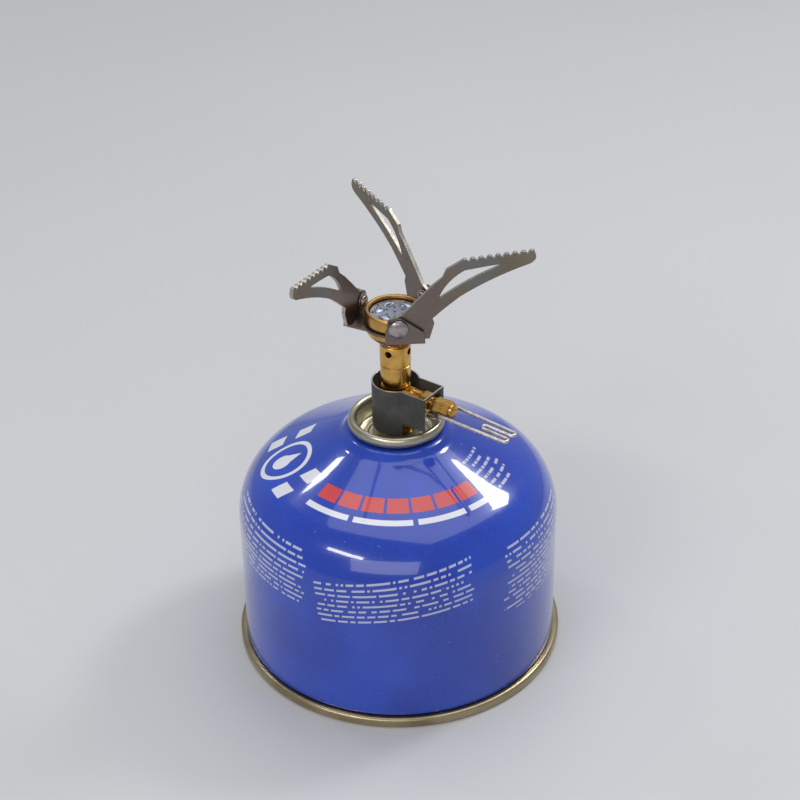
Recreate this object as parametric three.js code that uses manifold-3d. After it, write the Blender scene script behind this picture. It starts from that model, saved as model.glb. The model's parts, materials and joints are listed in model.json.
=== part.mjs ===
// Canister-top camping stove: a folding gas burner screwed on a 230 g screw-valve canister.
// Millimetres, +Z up. The origin is the middle of the canister's foot ring, on the ground.
import * as THREE from 'three';
import { mergeVertices } from 'three/addons/utils/BufferGeometryUtils.js';
import Module from 'manifold-3d';

const wasm = await Module();
wasm.setup();

// ---------------------------------------------------------------- driving dimensions
const TAU = 2 * Math.PI;
const GAP = 0.3;                // clearance between separate pieces

const canister = {
  bodyR: 53.0,                  // lacquered wall
  seamR: 55.0,                  // double seam at the foot
  seamTop: 3.6,
  shoulderZ: 50.0,              // where the straight wall ends
  shoulderR: 20.5,              // radius of the shoulder arc
  coneSlope: 26,                // degrees, the cone between shoulder and collar
  neckR: 18.4,                  // where the cone meets the neck step
  neckTop: 81.6,
  sheet: 0.5,
};
const collar = {                // rolled rim of the valve cup
  midR: 14.5,
  midZ: 84.1,
  halfWide: 1.15,
  halfTall: 1.75,
  sheet: 0.5,
};
const valve = {                 // the canister's screw valve
  threadR: 5.56,                // 7/16 inch thread, over its crests
  top: 87.0,
  bottom: 79.0,
  stemR: 1.2,
  stemTop: 86.2,
};
const socket = {                // the stove's own screw socket
  outerR: 6.9,
  boreR: 5.85,
  bottom: 82.6,
  roof: 89.0,
  top: 91.7,
};
const stem = {                  // the control valve, which points out sideways
  azimuth: -36.5,
  height: 95.0,
  bodyR: 2.9,
  bodyEnd: 10.6,
  spindleR: 1.3,
  boreR: 1.62,                  // round the spindle
  spindleTip: 2.4,
  spindleEnd: 17.4,
  glandFlats: 5.8,
  glandEnd: 13.4,
  neckR: 2.3,
  neckEnd: 15.1,
  hexStart: 16.2,               // the control knob
  hexEnd: 21.7,
  tipEnd: 23.2,
  tipR: 2.4,
  hexFlats: 5.2,
};
const handle = {                // folding wire handle on the control valve
  hinge: 19.1,
  height: 94.2,
  holeR: 0.95,
  reach: 44.0,
  innerReach: 33.6,
  hubHalf: 3.85,                // clear of the knob's corners as it folds
  endHalf: 3.15,
  droop: 1.2,                   // how far its end hangs below its hinge
  wireR: 0.6,
};
const shroud = {                // dark sheet guard round the valve
  outerR: 7.85,
  sheet: 0.45,
  bottom: 82.6,
  top: 99.1,
  boxStart: 6.2,
  boxBottom: 87.1,
  boxEnd: 14.95,
  boxHalf: 5.4,
};
const column = {                // brass mixing tube
  outerR: 5.0,
  footR: 4.88,                  // below the groove
  bottom: 99.5,
  top: 113.0,
  grooveZ: 105.6,
  holeZ: 110.8,
  holeR: 1.15,
  holeAzimuth: -117,
};
const burner = {
  rimR: 9.5,
  rimTop: 125.4,
  rimBottom: 121.1,
  flangeR: 9.0,
  flangeTop: 119.7,
  plateZ: 123.2,
  plateThick: 0.8,
  plateR: 7.9,
};
const bracket = {               // three-lobed sheet plate that carries the pot supports
  bottom: 120.0,
  sheet: 0.8,
  discR: 10.4,
  boreR: 8.3,
  lobeBack: -3.6,
  lobeFront: 8.7,
  earInner: 12.9,
};
const arm = {                   // folding pot support
  count: 3,
  azimuth: 2.75,
  offset: 11.4,                 // inner face, from the burner's axis
  thick: 1.2,
  pivotU: 0.4,
  pivotZ: 125.5,
  eyeR: 3.4,
  pinHoleR: 1.55,
  teeth: 9,
};
const rivet = { shankR: 1.25, headR: 3.15, headTall: 1.3, peenR: 2.0 };

// ---------------------------------------------------------------- materials
function metal(color, roughness, metalness = 1.0) {
  return new THREE.MeshStandardMaterial({ color, roughness, metalness });
}
const paint = {
  lacquer: metal(0x2b45a0, 0.28, 0.2),
  tinplate: metal(0xa89a7c, 0.32),
  cup: metal(0xc9c2b2, 0.3),
  brass: metal(0xc79a45, 0.28),
  steel: metal(0x8c8272, 0.35),
  tinted: metal(0x75695a, 0.4),
  dark: metal(0x4a4b49, 0.6, 0.7),
  rubber: metal(0x161616, 0.8, 0.0),
  bronze: metal(0xa07a4a, 0.7),
};

// ---------------------------------------------------------------- geometry helpers
const rad = (degrees) => degrees * Math.PI / 180;
const vec2 = (pairs) => pairs.map(([x, y]) => new THREE.Vector2(x, y));

function signedVolume(geometry) {
  const p = geometry.attributes.position;
  const index = geometry.index.array;
  const a = new THREE.Vector3();
  const b = new THREE.Vector3();
  const c = new THREE.Vector3();
  let total = 0;
  for (let i = 0; i < index.length; i += 3) {
    a.fromBufferAttribute(p, index[i]);
    b.fromBufferAttribute(p, index[i + 1]);
    c.fromBufferAttribute(p, index[i + 2]);
    total += a.dot(b.cross(c));
  }
  return total / 6;
}

// One closed body with shared corners and its faces pointing out.
function closed(geometry) {
  geometry.deleteAttribute('normal');
  geometry.deleteAttribute('uv');
  const merged = mergeVertices(geometry, 1e-4);
  const kept = [];
  const old = merged.index.array;
  for (let i = 0; i < old.length; i += 3) {
    const [a, b, c] = [old[i], old[i + 1], old[i + 2]];
    if (a !== b && b !== c && c !== a) kept.push(a, b, c);
  }
  merged.setIndex(kept);
  if (signedVolume(merged) < 0) {
    for (let i = 0; i < kept.length; i += 3) {
      [kept[i], kept[i + 1]] = [kept[i + 1], kept[i]];
    }
    merged.setIndex(kept);
  }
  return merged;
}

function solid(geometry) {
  const shape = closed(geometry);
  return new wasm.Manifold(new wasm.Mesh({
    numProp: 3,
    vertProperties: new Float32Array(shape.attributes.position.array),
    triVerts: new Uint32Array(shape.index.array),
  }));
}

function fromSolid(body) {
  const mesh = body.getMesh();
  const geometry = new THREE.BufferGeometry();
  geometry.setAttribute('position', new THREE.BufferAttribute(mesh.vertProperties, 3));
  geometry.setIndex(new THREE.BufferAttribute(mesh.triVerts, 1));
  return geometry;
}

// A turned piece about +Z. Its profile is a list of [radius, height].
function turned(profile, segments = 24) {
  return new THREE.LatheGeometry(vec2(profile), segments).rotateX(Math.PI / 2);
}

// A turned piece with a bore: the profile closes on itself.
function ring(profile, segments = 24) {
  return turned([...profile, profile[0]], segments);
}

// A turned sheet: a strip of even thickness along an open line of [radius, height].
function sheetRing(line, thickness, segments) {
  const left = [];
  const right = [];
  line.forEach(([r, z], i) => {
    const [r0, z0] = line[Math.max(i - 1, 0)];
    const [r1, z1] = line[Math.min(i + 1, line.length - 1)];
    const length = Math.hypot(r1 - r0, z1 - z0);
    const nr = (z1 - z0) / length * thickness / 2;
    const nz = -(r1 - r0) / length * thickness / 2;
    left.push([r + nr, z + nz]);
    right.push([r - nr, z - nz]);
  });
  return ring([...left, ...right.reverse()], segments);
}

function disc(radius, z0, z1, segments = 24) {
  return turned([[0, z0], [radius, z0], [radius, z1], [0, z1]], segments);
}

// Turns a piece made about +Z so that it lies along +X at the control valve's height.
function alongStem(geometry) {
  return geometry.rotateY(Math.PI / 2).translate(0, 0, stem.height);
}

function block(x0, x1, y0, y1, z0, z1) {
  const box = new THREE.BoxGeometry(x1 - x0, y1 - y0, z1 - z0);
  return box.translate((x0 + x1) / 2, (y0 + y1) / 2, (z0 + z1) / 2);
}

// A torus with a round or oval section.
function hoop(radius, z, halfWide, halfTall = halfWide, sides = 10, segments = 24) {
  const loop = [];
  for (let i = 0; i < sides; i += 1) {
    const a = TAU * i / sides;
    loop.push([radius + halfWide * Math.cos(a), z + halfTall * Math.sin(a)]);
  }
  return ring(loop, segments);
}

// A path through chosen corner points, with rounded corners.
class BentPath extends THREE.Curve {
  constructor(corners, radius, arcSteps) {
    super();
    const points = [corners[0]];
    for (let i = 1; i < corners.length - 1; i += 1) {
      const before = corners[i - 1].clone().sub(corners[i]);
      const after = corners[i + 1].clone().sub(corners[i]);
      const angle = before.angleTo(after);
      const cut = Math.min(radius / Math.tan(angle / 2), before.length() * 0.499, after.length() * 0.499);
      const start = corners[i].clone().addScaledVector(before.normalize(), cut);
      const end = corners[i].clone().addScaledVector(after.normalize(), cut);
      const bend = new THREE.QuadraticBezierCurve3(start, corners[i], end);
      points.push(...bend.getPoints(arcSteps));
    }
    points.push(corners[corners.length - 1]);
    this.points = points;
  }

  getPointAt(u, target = new THREE.Vector3()) {
    const at = u * (this.points.length - 1);
    const i = Math.min(Math.floor(at + 1e-9), this.points.length - 2);
    return target.lerpVectors(this.points[i], this.points[i + 1], at - i);
  }

  getTangentAt(u, target = new THREE.Vector3()) {
    const i = Math.round(u * (this.points.length - 1));
    const a = this.points[Math.max(i - 1, 0)];
    const b = this.points[Math.min(i + 1, this.points.length - 1)];
    return target.subVectors(b, a).normalize();
  }
}

function wire(corners, wireR, bendR, sides = 8, arcSteps = 3) {
  const path = new BentPath(corners, bendR, arcSteps);
  const section = new THREE.Shape(vec2([...Array(sides).keys()].map((i) => [
    wireR * Math.cos(TAU * i / sides),
    wireR * Math.sin(TAU * i / sides),
  ])));
  return new THREE.ExtrudeGeometry(section, { steps: path.points.length - 1, extrudePath: path });
}

// ---------------------------------------------------------------- scene graph
const stove = new THREE.Group();

function put(parent, name, geometry, material) {
  const mesh = new THREE.Mesh(closed(geometry), material);
  mesh.name = name;
  parent.add(mesh);
  return mesh;
}

function turnedGroup(degrees) {
  const group = new THREE.Group();
  group.rotation.z = rad(degrees);
  stove.add(group);
  return group;
}

// ---------------------------------------------------------------- gas canister
function shoulderLine() {
  const { bodyR, shoulderZ, shoulderR, coneSlope, neckR, neckTop } = canister;
  const wallR = bodyR - 0.25;   // the middle of the sheet
  const line = [[wallR, canister.seamTop + GAP], [wallR, shoulderZ]];
  const sweep = 90 - coneSlope;
  const steps = 7;
  for (let i = 1; i <= steps; i += 1) {
    const a = rad(sweep * i / steps);
    line.push([wallR - shoulderR * (1 - Math.cos(a)), shoulderZ + shoulderR * Math.sin(a)]);
  }
  const [coneR, coneZ] = line[line.length - 1];
  const slope = Math.tan(rad(coneSlope));
  line.push([neckR, coneZ + (coneR - neckR) * slope]);
  line.push([neckR - 1.5, neckTop - 0.5]);
  line.push([neckR - 2.4, neckTop - 0.2]);
  line.push([neckR - 4.0, neckTop - 0.2]);
  return line;
}

function addCanister() {
  const { seamR, seamTop } = canister;
  put(stove, 'canister_shell', sheetRing(shoulderLine(), canister.sheet, 44), paint.lacquer);

  put(stove, 'canister_base', turned([
    [0, 7.6], [26, 6.0], [44, 2.2], [48.6, 0.9], [51.2, 0.9], [51.7, 1.4], [51.7, 3.3],
    [51.2, 3.3], [51.2, 1.7], [48.8, 1.4], [44.3, 2.7], [26, 6.5], [0, 8.1],
  ], 40), paint.tinplate);

  put(stove, 'base_seam', ring([
    [52.4, 0], [seamR - 0.7, 0], [seamR, 0.8], [seamR, seamTop - 0.7], [seamR - 0.6, seamTop],
    [52.0, seamTop], [52.0, 0.4],
  ], 44), paint.tinplate);
}

function cupLine() {
  const { midR, midZ, halfWide, halfTall } = collar;
  const line = [];
  const steps = 8;
  for (let i = 0; i <= steps; i += 1) {
    const a = rad(-90 + 270 * i / steps);
    line.push([midR + halfWide * Math.cos(a), midZ + halfTall * Math.sin(a)]);
  }
  line.push([13.2, 80.4], [12.9, 79.2], [12.2, 78.5], [11.0, 78.5], [10.4, 79.1], [9.7, 79.1]);
  line.push([9.1, 78.5], [7.6, 78.5], [6.7, 79.1], [6.4, 80.0], [6.25, 81.6]);
  return line;
}

// A compression spring wound about +Z.
function coil(meanR, z0, z1, turns, wireR) {
  const perTurn = 10;
  const corners = [];
  for (let i = 0; i <= turns * perTurn; i += 1) {
    const a = TAU * i / perTurn;
    corners.push(new THREE.Vector3(
      meanR * Math.cos(a), meanR * Math.sin(a), z0 + (z1 - z0) * i / (turns * perTurn)));
  }
  const path = new THREE.CatmullRomCurve3(corners);
  const section = new THREE.Shape(vec2([...Array(6).keys()].map((i) => [
    wireR * Math.cos(TAU * i / 6), wireR * Math.sin(TAU * i / 6)])));
  return new THREE.ExtrudeGeometry(section, { steps: turns * perTurn, extrudePath: path });
}

function addCanisterValve() {
  const { threadR, top, bottom, stemR, stemTop } = valve;
  put(stove, 'valve_cup', sheetRing(cupLine(), collar.sheet, 28), paint.cup);

  put(stove, 'canister_valve_body', ring([
    [3.6, bottom], [threadR, bottom], [threadR, top - 0.6], [threadR - 0.6, top],
    [1.9, top], [1.9, 83.4], [3.6, 83.4],
  ]), paint.brass);

  put(stove, 'canister_valve_gasket', ring([
    [1.5, 82.2], [3.3, 82.2], [3.3, 83.1], [1.5, 83.1],
  ]), paint.rubber);

  put(stove, 'canister_valve_stem', turned([
    [0, 78.4], [0.9, 78.4], [0.9, 80.4], [2.8, 80.4], [2.8, 81.2], [stemR, 81.2],
    [stemR, stemTop - 0.3], [stemR - 0.3, stemTop], [0, stemTop],
  ], 16), paint.brass);

  put(stove, 'canister_valve_spring', coil(2.1, 75.5, 79.6, 4, 0.3), paint.steel);

  put(stove, 'canister_valve_housing', ring([
    [0.8, 73.2], [4.2, 73.2], [4.6, 73.8], [4.6, 78.6], [3.7, 78.6], [3.7, 74.0], [0.8, 74.0],
  ]), paint.tinplate);
}

// ---------------------------------------------------------------- screw socket and valve block
function addSocket() {
  const { outerR, boreR, bottom, roof, top } = socket;
  put(stove, 'screw_socket', ring([
    [boreR, bottom], [outerR - 0.4, bottom], [outerR, bottom + 0.4], [outerR, top],
    [1.8, top], [1.8, roof], [boreR, roof],
  ], 32), paint.brass);

  put(stove, 'socket_seal', hoop(4.3, 88.05, 0.7, 0.7, 8, 20), paint.rubber);

  put(stove, 'depressor_pin', turned([
    [0, 86.5], [0.95, 86.5], [0.95, 89.3], [1.45, 89.3], [1.45, 91.9], [0, 91.9],
  ], 12), paint.brass);

  put(stove, 'gas_filter', disc(2.7, 92.4, 93.2, 20), paint.bronze);
}

function hexBar(flats, x0, x1) {
  return alongStem(disc(flats / Math.sqrt(3), x0, x1, 6));
}

function addValveBlock(side) {
  const { bodyR, bodyEnd, boreR, glandFlats, glandEnd, neckR, neckEnd } = stem;
  const bottom = 92.0;
  const top = 97.4;
  const gasR = 0.8;
  const body = solid(disc(4.7, bottom, top, 32))
    .add(solid(disc(7.1, bottom, bottom + 1.3, 32)))
    .add(solid(alongStem(disc(bodyR, 0, bodyEnd, 20))))
    .subtract(solid(block(-7, 7, -7, 7, top, top + 2)))
    .subtract(solid(disc(3.0, bottom - 0.5, bottom + 1.5, 20)))
    .subtract(solid(alongStem(disc(boreR, -1.0, bodyEnd + 1, 16))))
    .subtract(solid(alongStem(disc(2.4, 9.0, bodyEnd + 1, 16))))
    .subtract(solid(disc(gasR, bottom + 1, top + 1, 10)));
  put(side, 'valve_block', fromSolid(body), paint.brass);

  put(side, 'spindle_seal', alongStem(hoop(1.98, 9.8, 0.36, 0.45, 8, 16)), paint.rubber);

  const nut = solid(hexBar(glandFlats, bodyEnd + GAP, glandEnd))
    .add(solid(alongStem(disc(neckR, glandEnd - 0.2, neckEnd, 20))))
    .subtract(solid(alongStem(disc(boreR, bodyEnd, neckEnd + 1, 16))));
  put(side, 'gland_nut', fromSolid(nut), paint.brass);

  put(side, 'spindle_clip', block(13.9, 17.4, -3.1, -2.4, 91.5, 92.0), paint.steel);

  put(side, 'gas_jet', ring([
    [0.45, 97.7], [2.5, 97.7], [2.5, 100.2], [1.3, 100.8], [1.1, 102.6], [0.45, 102.6],
  ], 16), paint.brass);
}

function addControl(side) {
  const { spindleR, spindleTip, spindleEnd, boreR, hexStart, hexEnd, tipR, tipEnd, hexFlats } = stem;
  const { hinge, height, holeR, reach, innerReach, hubHalf, endHalf, droop, wireR } = handle;
  put(side, 'valve_spindle', alongStem(turned([
    [0, spindleTip], [0.15, spindleTip], [0.6, spindleTip + 2.2], [spindleR, spindleTip + 2.8],
    [spindleR, spindleEnd], [0, spindleEnd],
  ], 16)), paint.brass);

  // The cross hole is square to the knob's upper near flat, and stops above the wire's hole.
  const crossHole = new THREE.CylinderGeometry(0.65, 0.65, 9, 10)
    .rotateX(rad(-30)).translate(hinge, 0, stem.height);
  const lowerHalf = block(hinge - 5, hinge + 5, -9, 9, stem.height - 5, stem.height + 0.2);
  const wireHole = new THREE.CylinderGeometry(holeR, holeR, 9, 12).translate(hinge, 0, height);
  const knob = solid(hexBar(hexFlats, hexStart, hexEnd))
    .add(solid(alongStem(turned([
      [0, hexEnd - 0.2], [tipR, hexEnd - 0.2], [tipR, tipEnd - 0.5], [tipR - 0.5, tipEnd], [0, tipEnd],
    ], 20))))
    .subtract(solid(alongStem(disc(boreR, hexStart - 1, spindleEnd + GAP, 16))))
    .subtract(solid(crossHole).subtract(solid(lowerHalf)))
    .subtract(solid(wireHole));
  put(side, 'control_knob', fromSolid(knob), paint.brass);

  const wireEnd = 0.9;
  const pitch = endHalf / 3;
  const drop = (x) => height - droop * (x - hinge) / (reach - hinge);
  const corners = [
    [hinge, -wireEnd], [hinge, -hubHalf], [reach, -endHalf], [reach, -pitch],
    [innerReach, -pitch], [innerReach, pitch], [reach, pitch], [reach, endHalf],
    [hinge, hubHalf], [hinge, wireEnd],
  ].map(([x, y]) => new THREE.Vector3(x, y, drop(x)));
  put(side, 'wire_handle', wire(corners, wireR, 1.0), paint.steel);
}

function keyhole(grow) {
  const { outerR, boxEnd, boxHalf } = shroud;
  const r = outerR - grow;
  const half = boxHalf - grow;
  const a = Math.asin(half / r);
  const outline = new THREE.Shape();
  outline.moveTo(boxEnd - grow, -half);
  outline.lineTo(boxEnd - grow, half);
  outline.lineTo(r * Math.cos(a), half);
  outline.absarc(0, 0, r, a, TAU - a, false);
  return outline;
}

function addShroud(side) {
  const { sheet, bottom, top, boxStart, boxBottom, boxEnd, boxHalf } = shroud;
  const tall = { depth: top - bottom, bevelEnabled: false, curveSegments: 26 };
  const outer = new THREE.ExtrudeGeometry(keyhole(0), tall).translate(0, 0, bottom);
  const inner = new THREE.ExtrudeGeometry(keyhole(sheet), { ...tall, depth: top - bottom + 2 })
    .translate(0, 0, bottom - 1);
  const under = block(boxStart, boxEnd + 1, -boxHalf - 1, boxHalf + 1, bottom - 1, boxBottom);
  const opening = block(
    boxEnd - 1, boxEnd + 1, -boxHalf + sheet, boxHalf - 1.6, boxBottom - 1, top - 0.8);
  const guard = solid(outer).subtract(solid(inner)).subtract(solid(under)).subtract(solid(opening));
  put(side, 'valve_shroud', fromSolid(guard), paint.dark);
}

// ---------------------------------------------------------------- mixing tube and burner
function addColumn() {
  const { outerR, footR, bottom, top, grooveZ, holeZ, holeR, holeAzimuth } = column;
  put(stove, 'jet_tube', ring([[3.1, 97.7], [4.3, 97.7], [4.3, 103.6], [3.1, 103.6]], 28), paint.brass);

  let tube = solid(ring([
    [4.6, bottom], [footR, bottom + 0.3], [footR, grooveZ - 0.3],
    [footR - 0.15, grooveZ], [outerR, grooveZ + 0.3], [outerR, top], [3.7, top], [3.7, 104.0],
    [4.6, 104.0],
  ], 24));
  for (let i = 0; i < 4; i += 1) {
    const hole = new THREE.CylinderGeometry(holeR, holeR, 4, 12)
      .rotateZ(Math.PI / 2).translate(outerR, 0, holeZ).rotateZ(rad(holeAzimuth + 90 * i));
    tube = tube.subtract(solid(hole));
  }
  put(stove, 'mixing_tube', fromSolid(tube), paint.brass);
}

function addBurner() {
  const { rimR, rimTop, rimBottom, flangeR, flangeTop, plateZ, plateThick, plateR } = burner;
  const spigotTop = plateZ - GAP;
  const bottom = column.top + GAP;
  put(stove, 'burner_cup', ring([
    [3.7, bottom], [5.0, bottom], [5.3, bottom + 0.4], [flangeR, 117.4], [flangeR, flangeTop],
    [8.0, flangeTop], [8.0, spigotTop], [7.2, spigotTop], [7.2, 117.4], [4.4, 114.4], [3.7, 114.0],
  ], 32), paint.brass);

  put(stove, 'burner_rim', ring([
    [8.3, rimBottom], [rimR - 0.3, rimBottom], [rimR, rimBottom + 0.3], [rimR, rimTop - 0.5],
    [rimR - 0.5, rimTop], [8.2, rimTop], [7.8, rimTop - 0.4], [7.8, 124.3], [8.3, 124.3],
  ], 40), paint.brass);

  let plate = solid(disc(plateR, plateZ, plateZ + plateThick, 32));
  const louvres = 6;
  for (let i = 0; i < louvres; i += 1) {
    const bump = new THREE.SphereGeometry(1, 8, 4).scale(0.9, 1.9, 0.75)
      .translate(5.2, 0, plateZ + plateThick - 0.1).rotateZ(rad(-130 + 60 * i));
    plate = plate.add(solid(bump));
  }
  const portRings = [[0, 1], [2.9, 6], [6.9, 9]];
  for (const [radius, count] of portRings) {
    for (let i = 0; i < count; i += 1) {
      const port = new THREE.CylinderGeometry(0.4, 0.4, 4, 6).rotateX(Math.PI / 2)
        .translate(radius, 0, plateZ).rotateZ(TAU * (i + 0.5) / count);
      plate = plate.subtract(solid(port));
    }
  }
  put(stove, 'burner_plate', fromSolid(plate), paint.steel);

  put(stove, 'burner_gauze', disc(6.9, 121.6, 122.0, 24), paint.bronze);
}

// ---------------------------------------------------------------- pot supports
// Every piece here is drawn in the plane of its arm: u runs outwards, v runs up from the pivot.
function plateAcross(outline, thick, offset) {
  const plate = new THREE.ExtrudeGeometry(outline, {
    depth: thick,
    bevelEnabled: false,
    curveSegments: 12,
  });
  return plate.rotateX(Math.PI / 2).translate(arm.pivotU, -offset, arm.pivotZ);
}

function pinAcross(profile, offset, segments = 14) {
  return turned(profile, segments).rotateX(Math.PI / 2).translate(arm.pivotU, -offset, arm.pivotZ);
}

function armOutline() {
  const heel = [9.7, -4.4];
  const outline = new THREE.Shape();
  outline.absarc(0, 0, arm.eyeR, rad(-78), rad(95), true);
  outline.lineTo(1.3, 4.0);
  outline.lineTo(5.2, 8.3);
  outline.lineTo(10.6, 13.9);
  outline.lineTo(13.7, 16.6);
  outline.lineTo(14.8, 19.3);
  const first = new THREE.Vector2(19.2, 21.5);
  const last = new THREE.Vector2(42.2, 24.0);
  for (let i = 0; i < arm.teeth; i += 1) {
    const foot = first.clone().lerp(last, i / arm.teeth);
    const pitch = first.distanceTo(last) / arm.teeth;
    const tall = 1.15;
    outline.lineTo(foot.x + 0.20 * pitch, foot.y + tall * 0.70);
    outline.lineTo(foot.x + 0.34 * pitch, foot.y + tall);
    outline.lineTo(foot.x + 0.60 * pitch, foot.y + tall);
    outline.lineTo(foot.x + 0.76 * pitch, foot.y + tall * 0.75);
    if (i < arm.teeth - 1) outline.lineTo(foot.x + 0.94 * pitch, foot.y + 0.05);
  }
  outline.lineTo(42.1, 23.0);
  outline.quadraticCurveTo(42.2, 21.4, 40.2, 20.4);
  outline.quadraticCurveTo(28.5, 16.2, 18.8, 9.8);
  outline.lineTo(14.6, 6.3);
  outline.lineTo(10.6, 2.7);
  outline.lineTo(11.2, 0.9);
  outline.lineTo(heel[0], heel[1]);
  outline.lineTo(8.2, heel[1]);
  outline.lineTo(5.2, -3.9);
  outline.lineTo(2.6, -3.6);

  const window = new THREE.Path();
  window.moveTo(13.4, 10.0);
  window.quadraticCurveTo(21.4, 15.9, 31.4, 20.1);
  window.lineTo(31.3, 20.6);
  window.quadraticCurveTo(25.0, 19.8, 20.4, 18.9);
  window.quadraticCurveTo(14.6, 15.4, 12.5, 9.6);
  outline.holes.push(window);

  const pinHole = new THREE.Path();
  pinHole.absarc(0, 0, arm.pinHoleR, 0, TAU, false);
  outline.holes.push(pinHole);
  return outline;
}

function earOutline() {
  const floor = bracket.bottom - arm.pivotZ;
  const outline = new THREE.Shape();
  outline.moveTo(bracket.lobeBack - arm.pivotU, floor);
  outline.lineTo(bracket.lobeFront - arm.pivotU, floor);
  outline.lineTo(7.9, -1.6);
  outline.lineTo(1.9, 2.9);
  outline.absarc(0, 0, 3.45, rad(57), rad(180), false);
  outline.lineTo(bracket.lobeBack - arm.pivotU, -1.0);
  const pinHole = new THREE.Path();
  pinHole.absarc(0, 0, arm.pinHoleR, 0, TAU, true);
  outline.holes.push(pinHole);
  return outline;
}

function addBracket() {
  const { bottom, sheet, discR, boreR, lobeBack, lobeFront, earInner } = bracket;
  let plate = solid(disc(discR, bottom, bottom + sheet, 32));
  for (let i = 0; i < arm.count; i += 1) {
    const turn = rad(arm.azimuth + 120 * i);
    const floor = block(lobeBack, lobeFront, -earInner - sheet, -5, bottom, bottom + sheet);
    const ear = plateAcross(earOutline(), sheet, earInner);
    plate = plate.add(solid(floor.rotateZ(turn))).add(solid(ear.rotateZ(turn)));
  }
  plate = plate.subtract(solid(disc(boreR, bottom - 1, bottom + sheet + 1, 32)));
  put(stove, 'support_bracket', fromSolid(plate), paint.tinted);
}

function addPotSupport(number) {
  const group = turnedGroup(arm.azimuth + 120 * (number - 1));
  const { offset, thick } = arm;
  put(group, `pot_support_${number}`, plateAcross(armOutline(), thick, offset), paint.tinted);

  const earOuter = bracket.earInner + bracket.sheet;
  const { shankR, headR, headTall, peenR } = rivet;
  const inner = 9.95;
  const under = earOuter + GAP - inner;
  put(group, `pivot_rivet_${number}`, pinAcross([
    [0, 0], [peenR * 0.6, 0], [peenR, 0.3], [peenR, 0.6], [shankR, 0.6], [shankR, under],
    [headR, under], [headR * 0.86, under + headTall * 0.6], [headR * 0.5, under + headTall * 0.93],
    [0, under + headTall],
  ], inner), paint.steel);

  put(group, `pivot_washer_${number}`, pinAcross([
    [shankR + 0.25, 0], [2.7, 0], [2.7, 0.28], [shankR + 0.25, 0.28], [shankR + 0.25, 0],
  ], offset - 0.58), paint.steel);
}

// ---------------------------------------------------------------- assembly
addCanister();
addCanisterValve();
addSocket();
const valveSide = turnedGroup(stem.azimuth);
addValveBlock(valveSide);
addControl(valveSide);
addShroud(valveSide);
addColumn();
addBurner();
addBracket();
for (let number = 1; number <= arm.count; number += 1) addPotSupport(number);

export default stove;
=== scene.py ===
import json
import math

import bmesh
import bpy
from mathutils import Matrix, Vector

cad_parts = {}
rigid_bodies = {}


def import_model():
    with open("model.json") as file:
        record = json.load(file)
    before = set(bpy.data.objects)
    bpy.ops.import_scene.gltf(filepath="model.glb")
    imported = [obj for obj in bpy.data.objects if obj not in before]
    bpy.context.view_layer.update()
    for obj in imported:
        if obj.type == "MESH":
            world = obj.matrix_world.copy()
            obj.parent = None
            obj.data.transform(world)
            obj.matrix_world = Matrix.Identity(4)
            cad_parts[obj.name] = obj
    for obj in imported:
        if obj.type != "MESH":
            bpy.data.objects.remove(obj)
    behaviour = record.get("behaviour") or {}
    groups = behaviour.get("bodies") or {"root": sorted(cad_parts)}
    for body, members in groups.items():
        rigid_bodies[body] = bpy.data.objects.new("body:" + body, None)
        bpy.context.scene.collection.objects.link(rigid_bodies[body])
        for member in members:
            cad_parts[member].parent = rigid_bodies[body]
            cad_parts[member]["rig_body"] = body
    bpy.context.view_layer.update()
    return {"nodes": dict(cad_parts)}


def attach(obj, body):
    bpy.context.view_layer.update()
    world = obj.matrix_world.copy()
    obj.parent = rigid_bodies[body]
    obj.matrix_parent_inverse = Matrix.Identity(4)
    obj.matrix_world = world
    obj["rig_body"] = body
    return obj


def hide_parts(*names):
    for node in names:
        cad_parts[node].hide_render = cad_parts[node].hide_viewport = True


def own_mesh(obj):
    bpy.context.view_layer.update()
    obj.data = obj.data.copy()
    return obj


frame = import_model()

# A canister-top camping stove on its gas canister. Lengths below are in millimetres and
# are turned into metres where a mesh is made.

MM = 0.001
TURN = 2 * math.pi
TURNED_STEPS = 128              # round the big pieces
SMALL_STEPS = 64                # round the small pieces
STEM_AZIMUTH = math.radians(-36.5)
STEM_HEIGHT = 95.0
ARM_AZIMUTH = 2.75
PIVOT_U = 0.4
PIVOT_Z = 125.5
THREAD_PITCH = 0.907

# Where each turned or sheet piece is drawn: about the canister's axis, or along the valve stem.
UPRIGHT = Matrix.Identity(4)
STEM = (Matrix.Translation((0, 0, STEM_HEIGHT)) @ Matrix.Rotation(STEM_AZIMUTH, 4, "Z")
        @ Matrix.Rotation(math.pi / 2, 4, "Y"))
SIDE = Matrix.Rotation(STEM_AZIMUTH, 4, "Z")


def arm_plane(number):
    """Local X runs out along the arm, -Y outwards across it, and the pivot is at the origin."""
    turn = math.radians(ARM_AZIMUTH + 120 * (number - 1))
    return Matrix.Rotation(turn, 4, "Z") @ Matrix.Translation((PIVOT_U, 0, PIVOT_Z))


def span(node, place=UPRIGHT):
    """Lowest and highest corner of a CAD node, in millimetres, in a piece's own drawing frame."""
    back = place.inverted()
    corners = [back @ (vertex.co / MM) for vertex in frame["nodes"][node].data.vertices]
    low = Vector(min(corner[axis] for corner in corners) for axis in range(3))
    high = Vector(max(corner[axis] for corner in corners) for axis in range(3))
    return low, high


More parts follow.
